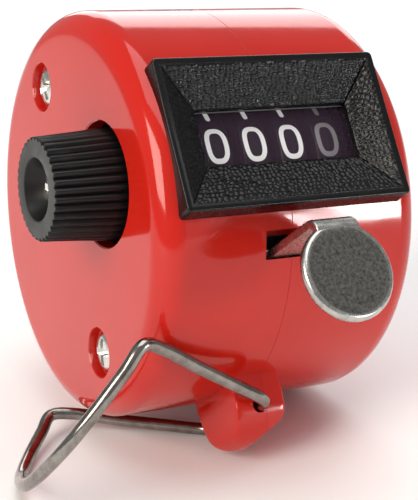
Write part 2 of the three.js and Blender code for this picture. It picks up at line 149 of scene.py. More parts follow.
def catmull(pts, per=8, closed=False):
    P = [Vector(p) for p in pts]; n = len(P); out = []
    segs = n if closed else n - 1
    for i in range(segs):
        p1, p2 = P[i], P[(i + 1) % n]
        p0 = P[(i - 1) % n] if (closed or i > 0) else p1 + (p1 - p2)
        p3 = P[(i + 2) % n] if (closed or i + 2 < n) else p2 + (p2 - p1)
        t0 = 0.0; t1 = t0 + max((p1-p0).length, 1e-6) ** .5; t2 = t1 + max((p2-p1).length, 1e-6) ** .5; t3 = t2 + max((p3-p2).length, 1e-6) ** .5
        for k in range(per):
            t = t1 + (t2 - t1) * k / per
            A1 = p0*((t1-t)/(t1-t0)) + p1*((t-t0)/(t1-t0)); A2 = p1*((t2-t)/(t2-t1)) + p2*((t-t1)/(t2-t1)); A3 = p2*((t3-t)/(t3-t2)) + p3*((t-t2)/(t3-t2))
            B1 = A1*((t2-t)/(t2-t0)) + A2*((t-t0)/(t2-t0)); B2 = A2*((t3-t)/(t3-t1)) + A3*((t-t1)/(t3-t1))
            out.append(B1*((t2-t)/(t2-t1)) + B2*((t-t1)/(t2-t1)))
    if not closed: out.append(P[-1])
    return out

def sweep(name, path, r, sides=20, cap=True):
    """round tube along a list of points, with domed ends"""
    n = len(path); T = [((path[min(i+1, n-1)] - path[max(i-1, 0)]).normalized()) for i in range(n)]
    up = Vector((0.13, 0.2, 0.97)); N = (up - T[0] * up.dot(T[0])).normalized(); V, F, rings = [], [], []
    def ring(c, t, nn, rad):
        b = t.cross(nn); k = len(V)
        for i in range(sides):
            a = 2 * math.pi * i / sides; V.append(c + (nn * math.cos(a) + b * math.sin(a)) * rad)
        rings.append(list(range(k, k + sides)))
    for i in range(n):
        if i:
            ax = T[i-1].cross(T[i])
            if ax.length > 1e-9:
                N = Matrix.Rotation(T[i-1].angle(T[i]), 3, ax.normalized()) @ N
            N = (N - T[i] * N.dot(T[i])).normalized()
        if i == 0:
            for a in (80, 55, 28): ring(path[0] - T[0] * r * 0.5 * math.sin(math.radians(a)), T[0], N, r * math.cos(math.radians(a)))
        ring(path[i], T[i], N, r)
        if i == n - 1:
            for a in (28, 55, 80): ring(path[i] + T[i] * r * 0.5 * math.sin(math.radians(a)), T[i], N, r * math.cos(math.radians(a)))
    for a, b in zip(rings, rings[1:]):
        for i in range(sides):
            j = (i + 1) % sides; F.append((a[i], a[j], b[j], b[i]))
    F.append(tuple(rings[0])); F.append(tuple(rings[-1]))
    return new_obj(name, V, F)

# ------------------------------------------------------------------ procedural noise for geometry
def hash2(ix, iy, seed):
    h = (ix.astype(np.int64) * 374761393 + iy.astype(np.int64) * 668265263 + seed * 974634777) & 0xffffffff
    h = ((h ^ (h >> 13)) * 1274126177) & 0xffffffff
    return ((h ^ (h >> 16)) & 0xffff) / 65535.0
def cells(x, y, seed):
    """distance to the nearest and second nearest cell point"""
    ix, iy = np.floor(x), np.floor(y); d1 = np.full(x.shape, 9.0); d2 = d1.copy()
    for dx in (-1, 0, 1):
        for dy in (-1, 0, 1):
            cx, cy = ix + dx, iy + dy
            px = cx + 0.15 + 0.7 * hash2(cx, cy, seed); py = cy + 0.15 + 0.7 * hash2(cx, cy, seed + 7)
            d = np.hypot(x - px, y - py); m = d < d1
            d2 = np.where(m, d1, np.minimum(d2, d)); d1 = np.where(m, d, d1)
    return d1, d2
def vnoise(x, y, seed):
    ix, iy = np.floor(x), np.floor(y); fx, fy = x - ix, y - iy; fx = fx*fx*(3-2*fx); fy = fy*fy*(3-2*fy)
    a, b, c, d = hash2(ix, iy, seed), hash2(ix+1, iy, seed), hash2(ix, iy+1, seed), hash2(ix+1, iy+1, seed)
    return (a*(1-fx)+b*fx)*(1-fy) + (c*(1-fx)+d*fx)*fy

# ------------------------------------------------------------------ materials
def mat(name, base, rough, metal=0.0, coat=0.0, coat_rough=0.05, spec=0.5, ior=1.5, sss=None):
    m = bpy.data.materials.new(name); m.use_nodes = True; nt = m.node_tree; nt.nodes.clear()
    out = nt.nodes.new('ShaderNodeOutputMaterial'); b = nt.nodes.new('ShaderNodeBsdfPrincipled'); nt.links.new(b.outputs[0], out.inputs[0])
    b.inputs['Base Color'].default_value = (*base, 1); b.inputs['Roughness'].default_value = rough; b.inputs['Metallic'].default_value = metal
    b.inputs['Coat Weight'].default_value = coat; b.inputs['Coat Roughness'].default_value = coat_rough
    b.inputs['Specular IOR Level'].default_value = spec; b.inputs['IOR'].default_value = ior
    return m, nt, b
def node(nt, kind, **kw):
    n = nt.nodes.new(kind)
    for k, v in kw.items():
        if hasattr(n, k) and k not in n.inputs.keys(): setattr(n, k, v)
        else: n.inputs[k].default_value = v
    return n
def noise(nt, coord, scale, detail=3, rough=0.5, dist=0.0):
    n = nt.nodes.new('ShaderNodeTexNoise'); n.inputs['Scale'].default_value = scale; n.inputs['Detail'].default_value = detail
    n.inputs['Roughness'].default_value = rough; n.inputs['Distortion'].default_value = dist; nt.links.new(coord, n.inputs['Vector']); return n
def ramp(nt, fac, stops):
    r = nt.nodes.new('ShaderNodeValToRGB'); nt.links.new(fac, r.inputs[0]); e = r.color_ramp.elements
    while len(e) < len(stops): e.new(0.5)
    for k, (p, c) in zip(e, stops): k.position = p; k.color = (*c, 1) if len(c) == 3 else c
    return r
def bump(nt, b, height, strength, dist, prev=None):
    n = nt.nodes.new('ShaderNodeBump'); n.inputs['Strength'].default_value = strength; n.inputs['Distance'].default_value = dist
    nt.links.new(height, n.inputs['Height'])
    if prev: nt.links.new(prev.outputs[0], n.inputs['Normal'])
    nt.links.new(n.outputs[0], b.inputs['Normal']); return n
def objcoord(nt):
    t = nt.nodes.new('ShaderNodeTexCoord'); return t.outputs['Object']

def plastic(name, base, dark, rough, rough_hi, peel, grain=0.0, grain_scale=3000, specks=0.0, coat=0.0, spec=0.5):
    m, nt, b = mat(name, base, rough, coat=coat, spec=spec)
    c = objcoord(nt)
    n1 = noise(nt, c, 90, 3); r1 = ramp(nt, n1.outputs['Fac'], [(0.3, dark), (0.7, base)]); nt.links.new(r1.outputs[0], b.inputs['Base Color'])
    n2 = noise(nt, c, 420, 5, 0.62, 0.4); r2 = ramp(nt, n2.outputs['Fac'], [(0.35, (rough,)*3), (0.75, (rough_hi,)*3)]); nt.links.new(r2.outputs[0], b.inputs['Roughness'])
    n3 = noise(nt, c, 650, 2); bp = bump(nt, b, n3.outputs['Fac'], peel, 0.00006)
    if grain:
        n4 = noise(nt, c, grain_scale, 3, 0.6); bp = bump(nt, b, n4.outputs['Fac'], grain, 0.00004, bp)
    if specks:
        v = nt.nodes.new('ShaderNodeTexVoronoi'); v.inputs['Scale'].default_value = 1500; nt.links.new(c, v.inputs['Vector'])
        rs = ramp(nt, v.outputs['Distance'], [(0.0, (1, 1, 1)), (0.09, (0, 0, 0))]); bump(nt, b, rs.outputs[0], specks, 0.00003, bp)
    return m
def metal(name, base, dark, rough, rough_hi, mottle=500, scratch=0.25, coat=0.0):
    m, nt, b = mat(name, base, rough, 1.0, coat=coat)
    c = objcoord(nt)
    n1 = noise(nt, c, mottle, 5, 0.65, 0.3); r1 = ramp(nt, n1.outputs['Fac'], [(0.32, dark), (0.66, base)]); nt.links.new(r1.outputs[0], b.inputs['Base Color'])
    n2 = noise(nt, c, mottle * 3.1, 4, 0.6); r2 = ramp(nt, n2.outputs['Fac'], [(0.3, (rough,)*3), (0.72, (rough_hi,)*3)]); nt.links.new(r2.outputs[0], b.inputs['Roughness'])
    mp = nt.nodes.new('ShaderNodeMapping'); mp.inputs['Scale'].default_value = (1, 9, 1); nt.links.new(c, mp.inputs['Vector'])
    n3 = noise(nt, mp.outputs[0], 900, 3, 0.7); bump(nt, b, n3.outputs['Fac'], scratch, 0.00002)
    return m

RED = plastic('red_abs', (0.53, 0.016, 0.008), (0.49, 0.012, 0.006), 0.09, 0.15, 0.05, specks=0.10, coat=0.10, spec=0.40)
BLACK = plastic('black_smooth_abs', (0.0045, 0.0045, 0.005), (0.003, 0.003, 0.0035), 0.22, 0.34, 0.10, spec=0.3)
BLACK_GRAIN = plastic('black_grained_abs', (0.0045, 0.0045, 0.005), (0.003, 0.003, 0.0035), 0.20, 0.36, 0.15, grain=0.35, grain_scale=5200, spec=0.30)
KNOB = plastic('black_knob_abs', (0.005, 0.005, 0.005), (0.0035, 0.0035, 0.0035), 0.3, 0.45, 0.12, grain=0.15, spec=0.3)
KNOB_TIP = plastic('knob_tip_grey', (0.036, 0.037, 0.035), (0.022, 0.023, 0.022), 0.42, 0.6, 0.2, grain=0.4)
WHEEL = plastic('wheel_black', (0.010, 0.007, 0.009), (0.006, 0.005, 0.006), 0.38, 0.55, 0.1, grain=0.2, spec=0.3)
NYLON = plastic('pinion_nylon', (0.62, 0.57, 0.45), (0.55, 0.50, 0.40), 0.4, 0.55, 0.1)
INK_PAINTED_GLOW = plastic('digit_white_painted_glow', (0.95, 0.95, 0.93), (0.88, 0.88, 0.86), 0.5, 0.65, 0.05)
INK_DIM_PAINTED_GLOW = plastic('digit_grey_painted_glow', (0.33, 0.33, 0.33), (0.25, 0.25, 0.25), 0.5, 0.65, 0.05)
PADM = metal('nickel_mottled', (0.25, 0.247, 0.23), (0.075, 0.073, 0.065), 0.34, 0.5, 2900, 0.6)
NICKEL = metal('nickel_bright', (0.58, 0.57, 0.54), (0.38, 0.37, 0.345), 0.20, 0.36, 900, 0.2)
WIRE = metal('wire_nickel', (0.34, 0.32, 0.295), (0.19, 0.17, 0.15), 0.10, 0.24, 700, 0.15)
ZINC = metal('zinc_bright', (0.80, 0.80, 0.77), (0.58, 0.57, 0.54), 0.18, 0.34, 700, 0.15)
STEEL = metal('frame_steel', (0.55, 0.54, 0.51), (0.42, 0.41, 0.39), 0.3, 0.5, 350, 0.3)
SPRING = metal('spring_steel', (0.33, 0.33, 0.34), (0.22, 0.22, 0.23), 0.3, 0.45, 600, 0.2)
BRASS = metal('star_brass', (0.62, 0.45, 0.19), (0.45, 0.32, 0.13), 0.25, 0.45, 500, 0.2)
def lens_mat():
    m, nt, b = mat('clear_window', (0.10, 0.06, 0.10), 0.05, spec=0.5, ior=1.49)
    b.inputs['Alpha'].default_value = 0.16
    c = objcoord(nt); n2 = noise(nt, c, 700, 4, 0.6); r2 = ramp(nt, n2.outputs['Fac'], [(0.4, (0.02,)*3), (0.85, (0.07,)*3)]); nt.links.new(r2.outputs[0], b.inputs['Roughness'])
    n3 = noise(nt, c, 300, 2); bump(nt, b, n3.outputs['Fac'], 0.04, 0.00003)
    return m
LENS = lens_mat()
# the digit inks glow through emission: painted light that brightens the digits behind the window; the units digits glow
# less
for mm, painted_glow_strength in ((INK_PAINTED_GLOW, 0.42), (INK_DIM_PAINTED_GLOW, 0.08)):
    bb = [n for n in mm.node_tree.nodes if n.type == 'BSDF_PRINCIPLED'][0]
    bb.inputs['Emission Color'].default_value = (1, 1, 0.98, 1); bb.inputs['Emission Strength'].default_value = painted_glow_strength
LIP = plastic('lip_grey', (0.10, 0.10, 0.10), (0.05, 0.05, 0.05), 0.3, 0.5, 0.1)

def finish_piece(ob, m, body, replaces=(), sm=32):
    ob.data.materials.clear(); ob.data.materials.append(m)
    if sm: smooth(ob, sm)
    place(ob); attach(ob, body)
    if replaces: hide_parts(*replaces)
    return ob

# ------------------------------------------------------------------ case
R0, HW, FR, WALLT = 24.0, 16.55, 2.9, 1.8
SEAM, G = -0.7, 0.012
def half_profile(s):
    e = SEAM + s * G; o = []
    hw = HW
    o.append((s * hw, 0.0)); o.append((s * hw, 12.0)); o.append((s * hw, 20.6))
    for k in range(0, 13):
        a = math.pi / 2 * k / 12
        o.append((s * (hw - FR + FR * math.cos(a)), R0 - FR + FR * math.sin(a)))
    o += [(s * 9.0, R0), (e + s * 0.035, R0), (e + s * 0.01, R0 - 0.01), (e, R0 - 0.035), (e, R0 - WALLT)]
    o += [(s * (hw - WALLT - 1.4), R0 - WALLT), (s * (hw - WALLT - 0.4), R0 - WALLT - 0.4), (s * (hw - WALLT), R0 - WALLT - 1.4), (s * (hw - WALLT), 0.0)]
    return o
LUGP = hull(circ(-1.4, -25.9, 4.9, 72) + [(-6.3, -22.9), (4.6, -22.9)])
def fil(pts, rs, n=7):
    """polygon with rounded corners"""
    o = []
    for i, (p, r) in enumerate(zip(pts, rs)):
        p = Vector(p)
        if r <= 0: o.append(tuple(p)); continue
        a = (Vector(pts[i - 1]) - p).normalized(); c = (Vector(pts[(i + 1) % len(pts)]) - p).normalized()
        h = a.angle(c) / 2; d = r / math.tan(h); ctr = p + (a + c).normalized() * (r / math.sin(h)); s0, s1 = p + a * d - ctr, p + c * d - ctr
        for k in range(n + 1):
            o.append(tuple(ctr + s0.lerp(s1, k / n).normalized() * r))
    return o
def lug_block():
    ob = prism('lug_block', hull(circ(-1.4, -25.9, 4.9, 72) + [(-6.3, -20.5), (4.6, -20.5)]), -4.5, 1.85, 'X')
    boolean(ob, prism('lugface', fil([(-4.5, -18), (1.85, -18), (1.85, -28.3), (-2.4, -30.9), (-4.5, -30.9)], [0, 0, 2.0, 1.2, 2.3]), -12, 12, 'Y'), 'INTERSECT')
    m = ob.modifiers.new('r', 'REMESH'); m.mode = 'VOXEL'; m.voxel_size = 0.17; apply_mods(ob)
    m = ob.modifiers.new('s', 'SMOOTH'); m.factor = 0.5; m.iterations = 14; apply_mods(ob)
    # shrinkage of the smoothing is taken back along the rounded block's own centre
    for v in ob.data.vertices:
        v.co.x = -1.32 + (v.co.x + 1.32) * 1.012; v.co.y = -1.4 + (v.co.y + 1.4) * 1.010; v.co.z = max(-30.85, v.co.z)
    boolean(ob, lathe('c', [(-30, 0), (-30, 22.7), (30, 22.7), (30, 0)], 96))
    return ob
LUG = lug_block()
def lug_half(s):
    ob = LUG.copy(); ob.data = LUG.data.copy(); COL.objects.link(ob)
    return boolean(ob, cbox('h', -12, SEAM - G, -20, 20, -40, -10) if s < 0 else cbox('h', SEAM + G, 12, -20, 20, -40, -10), 'INTERSECT')
def case_half(s):
    nm = 'case_shell_left' if s < 0 else 'case_shell_right'
    ob = lathe(nm, half_profile(s), 192)
    boolean(ob, lug_half(s), 'UNION')
    for y, z in ((0.3, 17.0), (0.9, -16.5)):
        if s < 0: boss = lathe('b', [(-15.6, 0), (-15.6, 3.0), (SEAM - G, 3.0), (SEAM - G, 0)], 32, y, z)
        else: boss = lathe('b', [(SEAM + G, 0), (SEAM + G, 3.0), (15.6, 3.0), (15.6, 0)], 32, y, z)
        boolean(ob, boss, 'UNION')
        boolean(ob, lathe('b', [(-18, 0), (-18, 1.35), (9, 1.35), (9, 0)], 24, y, z))
    # window opening, slot, loop hole
    def rrect(x0, x1, z0, z1, r, n=5):
        o = []
        for cx, cz, a in ((x1 - r, z1 - r, 0), (x0 + r, z1 - r, 90), (x0 + r, z0 + r, 180), (x1 - r, z0 + r, 270)):
            for k in range(n + 1):
                t = math.radians(a + 90 * k / n); o.append((cx + r * math.cos(t), cz + r * math.sin(t)))
        return o
    boolean(ob, prism('w', rrect(-13.7, 12.85, -8.4, 7.7, 0.6), -27, -15, 'Y'))
    boolean(ob, prism('w', rrect(-4.0, 2.7, -13.62, -10.85, 0.18), -27, -15, 'Y'))
    boolean(ob, prism('w', circ(-1.5, -26.7, 0.9, 40), -12, 12, 'Y'))
    if s < 0:
        k = lathe('k', [(-18, 0), (-18, 7.4), (-16.7, 7.4), (-16.4, 7.12), (-13, 7.1), (-13, 0)], 96, SHAFT_Y, 0)
        boolean(ob, k)
        for y, z in ((0.3, 17.0), (0.9, -16.5)):
            boolean(ob, lathe('k', [(-18, 0), (-18, 3.05), (-16.6, 3.05), (-16.42, 2.9), (-15.45, 2.85), (-15.35, 2.75), (-15.35, 0)], 48, y, z))
    return ob
left = case_half(-1); right = case_half(1)
bpy.data.objects.remove(LUG)
finish_piece(left, RED, 'case', ('case_left_half',), 30)
finish_piece(right, RED, 'case', ('case_right_half',), 30)

# ------------------------------------------------------------------ case screws: pan heads with a cross recess
def cross_screw(name, x, y, z, r, shank_r, x_end, ang=0.3, slot=False):
    prof = [(x - 0.62, 0.0), (x - 0.60, r * 0.45), (x - 0.5, r * 0.75), (x - 0.30, r * 0.93), (x - 0.1, r), (x + 0.15, r), (x + 0.2, r * 0.97), (x + 0.2, shank_r)]
    k = x + 0.4
    while k < x_end - 1.2:
        prof += [(k, shank_r * 1.12), (k + 0.18, shank_r * 0.86)]; k += 0.55
    prof += [(x_end - 0.9, shank_r * 0.8), (x_end, 0.0)]
    ob = lathe(name, prof, 48, y, z)
    # tapered cross
    for q in ((0,) if slot else (0, 1)):
        a = ang + q * math.pi / 2; w, L, d = (0.30 if slot else 0.33), (r * 0.82 if slot else r * 0.70), 0.85
        V = []
        for depth, l, ww in ((-0.9, L * 1.2, w * 1.25), (d - 0.35, L * (0.95 if slot else 0.45), w * 0.75)):
            for su, sv in ((-1, -1), (1, -1), (1, 1), (-1, 1)):
                u, v = su * l, sv * ww
                V.append((x + depth, y + u * math.cos(a) - v * math.sin(a), z + u * math.sin(a) + v * math.cos(a)))
        c = new_obj('x', V, [(0, 1, 2, 3), (4, 5, 6, 7), (0, 1, 5, 4), (1, 2, 6, 5), (2, 3, 7, 6), (3, 0, 4, 7)])
        boolean(ob, c)
    return ob
finish_piece(cross_screw('cross_screw_upper', -15.55, 0.3, 17.0, 2.3, 1.0, 8.3, 0.12), ZINC, 'case', ('case_screw_upper',), 28)
finish_piece(cross_screw('cross_screw_lower', -15.55, 0.9, -16.5, 2.3, 1.0, 8.3, 0.45), ZINC, 'case', ('case_screw_lower',), 28)

# ------------------------------------------------------------------ window bezel with grained sloping faces
BX0, BX1, BZ0, BZ1, BF = -14.4, 13.55, -9.1, 8.4, -24.7
WX0, WX1, WZ0, WZ1, WY = -9.5, 9.9, -3.3, 3.25, -22.0
def bezel():
    def rr(x0, x1, z0, z1, r, n=6):
        o = []
        for cx, cz, a in ((x1 - r, z1 - r, 0), (x0 + r, z1 - r, 90), (x0 + r, z0 + r, 180), (x1 - r, z0 + r, 270)):
            for k in range(n + 1):
                t = math.radians(a + 90 * k / n); o.append((cx + r * math.cos(t), cz + r * math.sin(t)))
        return o
    ob = prism('bezel_body', rr(BX0, BX1, BZ0, BZ1, 0.55), BF, -20.9, 'Y')
    bm = bmesh.new(); bm.from_mesh(ob.data)
    es = [e for e in bm.edges if all(abs(v.co.y - BF) < 1e-4 for v in e.verts)]
    bmesh.ops.bevel(bm, geom=es, offset=0.22, segments=4, profile=0.5, affect='EDGES', clamp_overlap=True)
    bm.to_mesh(ob.data); bm.free()
    gr = lathe('g', [(-17, 0), (-17, 21.3)] + [(-(16.6 - 2.95 + 2.95 * math.cos(math.pi / 2 * k / 8)), 21.1 + 2.95 * math.sin(math.pi / 2 * k / 8)) for k in range(9)] +
               [((16.6 - 2.95 + 2.95 * math.cos(math.pi / 2 * k / 8)), 21.1 + 2.95 * math.sin(math.pi / 2 * k / 8)) for k in range(8, -1, -1)] + [(17, 21.3), (17, 0)], 160)
    boolean(ob, gr)
    boolean(ob, prism('s', rr(BX0 + 1.0, BX1 - 1.0, BZ0 + 1.0, BZ1 - 1.0, 0.5), -24.3, -20.0, 'Y'), 'UNION')
    # funnel, leaving a 0.75 mm smooth border
    b = 0.75; x0, x1, z0, z1 = BX0 + b, BX1 - b, BZ0 + b, BZ1 - b; yo = BF - 0.3; k = 0.3 / (WY - BF + 0.25)
    V = []
    f = lambda a, c, t: a + (c - a) * t
    for y, t in ((BF - 0.3, -k), (WY - 0.03, 1.0)):
        V += [(f(x0, WX0, t), y, f(z0, WZ0, t)), (f(x1, WX1, t), y, f(z0, WZ0, t)), (f(x1, WX1, t), y, f(z1, WZ1, t)), (f(x0, WX0, t), y, f(z1, WZ1, t))]
    fun = new_obj('f', V, [(0, 1, 2, 3), (4, 5, 6, 7), (0, 1, 5, 4), (1, 2, 6, 5), (2, 3, 7, 6), (3, 0, 4, 7)])
    boolean(ob, fun)
    boolean(ob, cbox('o', WX0, WX1, -23, -19, WZ0, WZ1))
    boolean(ob, cbox('o', -10.7, 10.9, -21.6, -19, -4.4, 4.4))
    # dark rib inside the right end of the opening: a dark piece placed to paint shade on that side of the window
    boolean(ob, cbox('r', 10.95, 11.6, -20.6, -13.5, -4.6, 4.6), 'UNION')
    return ob
finish_piece(bezel(), BLACK, 'case', ('window_bezel',), 30)
def grain_facet(name, A, B, C, D, nrm, seed=1):
    """grained sheet over one sloping face: A-B on the outer edge, D-C on the inner edge"""
    A, B, C, D, nrm = (np.array(v, float) for v in (A, B, C, D, nrm))
    L = max(np.linalg.norm(B - A), np.linalg.norm(C - D)); H = np.linalg.norm(D - A)
    nu, nv = int(L / 0.13), int(np.linalg.norm(((C + D) - (A + B)) / 2) / 0.13)
    u = np.linspace(0, 1, nu + 1); v = np.linspace(0, 1, nv + 1); U, Vv = np.meshgrid(u, v)
    P = (A[None, None] * (1 - U[..., None]) + B[None, None] * U[..., None]) * (1 - Vv[..., None]) + (D[None, None] * (1 - U[..., None]) + C[None, None] * U[..., None]) * Vv[..., None]
    eu = (B - A) / np.linalg.norm(B - A); ev = np.cross(nrm, eu); Q = P - A[None, None]
    a = Q @ eu + seed * 13.7; c = Q @ ev + seed * 5.3
    w = vnoise(a * 1.4, c * 1.4, 3) * 0.9
    d1, d2 = cells(a * 1.75 + w, c * 1.75 + 0.6 * vnoise(a * 1.6, c * 1.6, 11), 5)
    h = np.clip((d2 - d1) / 0.45, 0, 1); h = h * h * (3 - 2 * h)
    h = 0.62 * h + 0.38 * vnoise(a * 4.2, c * 4.2, 9) * h
    ed = np.minimum(np.minimum(U, 1 - U) * L, np.minimum(Vv, 1 - Vv) * H); fade = np.clip(ed / 0.35, 0, 1)
    P = P + nrm[None, None] * ((0.03 + 0.15 * h * fade)[..., None])
    P0 = P - nrm[None, None] * 0.0
    V = P.reshape(-1, 3).tolist(); F = []
    W = nu + 1
    for j in range(nv):
        for i in range(nu):
            q = (j * W + i, j * W + i + 1, (j + 1) * W + i + 1, (j + 1) * W + i); F.append(q)
    # close the underside so that the sheet is a thin solid
    base = len(V); cs = [0, nu, nv * W + nu, nv * W]
    edge = list(range(0, nu + 1)) + [j * W + nu for j in range(1, nv + 1)] + [nv * W + i for i in range(nu - 1, -1, -1)] + [j * W for j in range(nv - 1, 0, -1)]
    for e in edge: V.append((np.array(V[e]) - nrm * 0.12).tolist())
    m = len(edge)
    for k in range(m): F.append((edge[k], base + k, base + (k + 1) % m, edge[(k + 1) % m]))
    F.append(tuple(range(base, base + m)))
    return new_obj(name, V, F)
b = 0.75; ox0, ox1, oz0, oz1 = BX0 + b, BX1 - b, BZ0 + b, BZ1 - b
fo = [(ox0, BF, oz0), (ox1, BF, oz0), (ox1, BF, oz1), (ox0, BF, oz1)]; fi = [(WX0, WY, WZ0), (WX1, WY, WZ0), (WX1, WY, WZ1), (WX0, WY, WZ1)]
for k, (nm, i, j) in enumerate((('lower', 0, 1), ('right', 1, 2), ('upper', 2, 3), ('left', 3, 0))):
    A, B, C, D = (Vector(p) for p in (fo[i], fo[j], fi[j], fi[i]))
    n = (B - A).cross(D - A).normalized()
    if n.y > 0: n = -n
    ob = grain_facet('bezel_grain_' + nm, A, B, C, D, n, k)
    finish_piece(ob, BLACK_GRAIN, 'case', (), 0)
    ob.data.polygons.foreach_set('use_smooth', [len(p.vertices) == 4 for p in ob.data.polygons])

# dark sheet inside the case below the wheels: painted shade that keeps the lever slot dark
sk = cbox('slot_shade_sheet', -6.0, 9.5, -20.7, -12.5, -10.35, -9.85)
bevel(sk, 0.1, 2); finish_piece(sk, BLACK, 'case', (), 30)
# ------------------------------------------------------------------ clear window
ln = cbox('window_pane', -10.4, 10.6, -21.3, -20.3, -4.1, 4.1)
bevel(ln, 0.12, 3); finish_piece(ln, LENS, 'case', ('window_lens',), 40)
# thin moulded lip lines at the top and bottom of the opening
for nm, z in (('upper', WZ1 - 0.10), ('lower', WZ0 + 0.10)):
    lip = sweep('window_lip_' + nm, [Vector((x, -21.55, z)) for x in np.linspace(WX0 + 0.1, WX1 - 0.1, 12)], 0.09, 8)
    finish_piece(lip, LIP, 'case', (), 50)

# ------------------------------------------------------------------ number wheels: smooth rims and printed digits
def arc(cx, cy, rx, ry, a0, a1, n=18):
    return [(cx + rx * math.cos(math.radians(a0 + (a1 - a0) * i / n)), cy + ry * math.sin(math.radians(a0 + (a1 - a0) * i / n))) for i in range(n + 1)]
W_, H_ = 1.12, 1.80
def oval(n=44, e=2.7):
    o = []
    for i in range(n):
        t = 2 * math.pi * i / n; c, s = math.cos(t), math.sin(t)
        o.append((W_ * math.copysign(abs(c) ** (2 / e), c), H_ * math.copysign(abs(s) ** (2 / e), s)))
    return o + [o[0]]
DIG = {
    0: [oval()],
    1: [[(0.0, -H_ - 0.62), (0.0, H_), (-0.55, H_ - 0.55)]],
    2: [arc(0, H_ - W_ + 0.02, W_, W_, 165, -32) + [(-W_, -H_), (W_, -H_)]],
    3: [arc(0, 0.93, 0.95, 0.87, 150, -88) + arc(0, -0.86, 1.12, 0.94, 88, -150)],
    4: [[(0.45, -H_), (0.45, H_), (-W_, -0.75), (W_, -0.75)]],
    5: [[(W_ - 0.1, H_), (-W_ + 0.15, H_), (-W_ + 0.05, 0.25)] + arc(0, -0.62, W_, 1.18, 132, -150)],
    6: [arc(0.25, 0.6, 1.35, 1.2, 62, 150)[:14] + [(-W_, -0.4)] + arc(0, -0.72, W_, 1.08, 175, 540)],
    7: [[(-W_, H_), (W_, H_), (-0.35, -H_)]],
    8: [arc(0, 0.93, 0.92, 0.87, 0, 360, 30), arc(0, -0.88, W_, 0.92, 0, 360, 30)],
    9: [arc(-0.25, -0.6, 1.35, 1.2, -118, -30)[:14] + [(W_, 0.4)] + arc(0, 0.72, W_, 1.08, -5, 360)],
}
def stroke(pts, w):
    P = [Vector(p) for p in pts]; n = len(P); closed = (P[0] - P[-1]).length < 1e-4
    V, F = [], []
    if closed: P = P[:-1]; n -= 1
    for i in range(n):
        a = P[(i - 1) % n] if (closed or i) else P[0] - (P[1] - P[0]); b2 = P[(i + 1) % n] if (closed or i < n - 1) else P[-1] + (P[-1] - P[-2])
        t1, t2 = (P[i] - a).normalized(), (b2 - P[i]).normalized(); t = (t1 + t2)
        if t.length < 0.3: t = t1
        t.normalize(); k = 1 / max(0.55, t.dot(t1)); nn = Vector((-t.y, t.x)) * w * k
        V += [P[i] + nn, P[i] - nn]
    m = n if closed else n - 1
    for i in range(m):
        j = (i + 1) % n; F.append((2 * i, 2 * i + 1, 2 * j + 1, 2 * j))
    if not closed:
        for e, s in ((0, -1), (n - 1, 1)):
            t = (P[1] - P[0]).normalized() if e == 0 else (P[-1] - P[-2]).normalized(); t = t * s; nn = Vector((-t.y, t.x))
            c = len(V); arcp = [P[e] + (nn * math.cos(a) + t * math.sin(a)) * w for a in np.linspace(0, math.pi, 9)]
            V += [P[e]] + arcp
            F += [(c, c + 1 + i, c + 2 + i) for i in range(8)]
    return V, F
def digit_piece(name, xc, d, r=WHEEL_R + 0.075, w=0.29):
    V, F = [], []
    for s in DIG[d]:
        # densify straight runs so that they follow the drum
        q = [s[0]]
        for a, c in zip(s, s[1:]):
            k = max(1, int(math.hypot(c[0] - a[0], c[1] - a[1]) / 0.25))
            q += [(a[0] + (c[0] - a[0]) * i / k, a[1] + (c[1] - a[1]) * i / k) for i in range(1, k + 1)]
        v, f = stroke(q, w); o = len(V); V += v; F += [tuple(i + o for i in g) for g in f]
    out = []
    for p in V:
        phi = math.radians(36 * d) + p.y / WHEEL_R
        out.append((xc + p.x, SHAFT_Y - r * math.cos(phi), r * math.sin(phi)))
    me = bpy.data.meshes.new(name); me.from_pydata(out, [], F); ob = bpy.data.objects.new(name, me); COL.objects.link(ob)
    return ob
WN = ['thousands', 'hundreds', 'tens', 'units']
for i, w in enumerate(WN):
    xc = -6.3 + 4.75 * i
    prof = [(xc - 1.62, 8.6), (xc - 1.62, WHEEL_R - 0.05), (xc - 1.52, WHEEL_R + 0.05), (xc + 1.52, WHEEL_R + 0.05), (xc + 1.62, WHEEL_R - 0.05), (xc + 1.62, 8.6)]
    rim = lathe(w + '_rim', prof, 120, SHAFT_Y, 0, closed=True)
    finish_piece(rim, WHEEL, w, (), 30)
    ds = [digit_piece('%s_digit_%d' % (w, d), xc, d) for d in range(10)]
    for o in ds:
        finish_piece(o, INK_DIM_PAINTED_GLOW if w == 'units' else INK_PAINTED_GLOW, w, (), 0)

